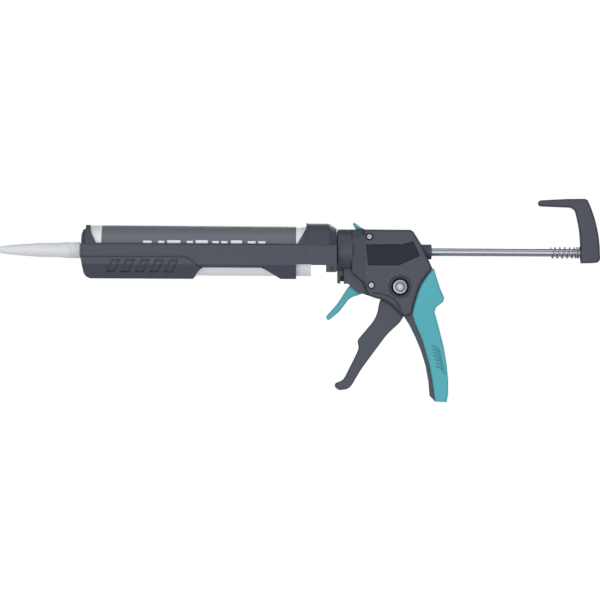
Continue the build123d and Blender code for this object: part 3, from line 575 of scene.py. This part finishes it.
grip_teal = (0.066, 0.39, 0.445)
release_teal = (0.050, 0.35, 0.40)
tab_green = (0.055, 0.36, 0.33)
coat(soft_rubber("grip_rubber", grip_teal), "grip_left", "grip_right")
coat(moulded("teal_plastic", release_teal, 0.42, 1800.0, 0.2), "release_trigger")
coat(moulded("tab_teal", tab_green, 0.42, 1800.0, 0.2), "drip_stop_tab")

# ------------------------------------------------------------------ studio
# A pale floor well below the gun and a surround that looks white and lights it less from above
# and behind. A broad soft box in front gives most of the light, a low strip reaches under the gun,
# and smaller boxes lift its top and its far side.

scene = bpy.context.scene
scene.view_settings.view_transform = "Standard"
centre = Vector((0.3, 0.0, -0.0487))

bpy.ops.object.select_all(action="DESELECT")
floor_radius = 5.0
floor_height = -0.9
bpy.ops.mesh.primitive_circle_add(vertices=96, radius=floor_radius, fill_type="NGON",
                                  location=(centre.x, 0.0, floor_height))
floor = bpy.context.object
floor.name = "floor"
floor_finish = Finish("floor_paper", 0.9)
fibre = floor_finish.noise(300.0, 3.0)
floor_finish.colour(floor_finish.blend(fibre, (0.80, 0.80, 0.81), (0.83, 0.83, 0.84)))
floor.data.materials.append(floor_finish.material)

world = bpy.data.worlds.new("white_surround")
world.use_nodes = True
tree = world.node_tree
surround = tree.nodes["Background"]
surround.inputs["Color"].default_value = (0.94, 0.97, 1.0, 1.0)
direction = tree.nodes.new("ShaderNodeSeparateXYZ")
tree.links.new(tree.nodes.new("ShaderNodeTexCoord").outputs["Generated"], direction.inputs[0])
away = Signal(tree, direction.outputs["Y"])
up = Signal(tree, direction.outputs["Z"])
surround_level = 0.47
dim_behind = 0.14
dim_above = 0.08
level = surround_level - dim_behind * away - dim_above * up
tree.links.new(level.socket, surround.inputs["Strength"])
backdrop = tree.nodes.new("ShaderNodeBackground")
backdrop.inputs["Color"].default_value = (1.0, 1.0, 1.0, 1.0)
seen = tree.nodes.new("ShaderNodeLightPath")
choice = tree.nodes.new("ShaderNodeMixShader")
tree.links.new(seen.outputs["Is Camera Ray"], choice.inputs[0])
tree.links.new(surround.outputs[0], choice.inputs[1])
tree.links.new(backdrop.outputs[0], choice.inputs[2])
tree.links.new(choice.outputs[0], tree.nodes["World Output"].inputs["Surface"])
scene.world = world


def soft_light(name, energy, size, place, aim):
    """A soft box aimed at a point. The camera doesn't see it."""
    light = bpy.data.lights.new(name, "AREA")
    light.shape = "RECTANGLE"
    light.size, light.size_y = size
    light.energy = energy
    lamp = bpy.data.objects.new(name, light)
    lamp.location = place
    lamp.rotation_euler = (Vector(aim) - Vector(place)).to_track_quat("-Z", "Y").to_euler()
    lamp.visible_camera = False
    scene.collection.objects.link(lamp)


soft_light("front_box", 56.0, (4.4, 3.0), (-0.5, -3.2, 0.1), centre)
soft_light("low_strip", 9.0, (2.6, 0.35), (0.2, -2.2, -0.78), centre)
soft_light("top_box", 5.0, (1.6, 0.8), (0.3, -0.6, 1.6), centre)
soft_light("back_box", 24.0, (1.6, 0.9), (0.9, 2.2, 0.9), centre)

view_width = 0.6
camera_roll = math.radians(-0.3)
camera_data = bpy.data.cameras.new("camera")
camera_data.lens = 180.0
camera_data.sensor_width = 36.0
camera_data.clip_end = 50.0
camera = bpy.data.objects.new("camera", camera_data)
distance = view_width * camera_data.lens / camera_data.sensor_width
camera.location = centre + Vector((0.0, -distance, 0.0))
camera.rotation_euler = (math.radians(90.0), camera_roll, 0.0)
scene.collection.objects.link(camera)
scene.camera = camera
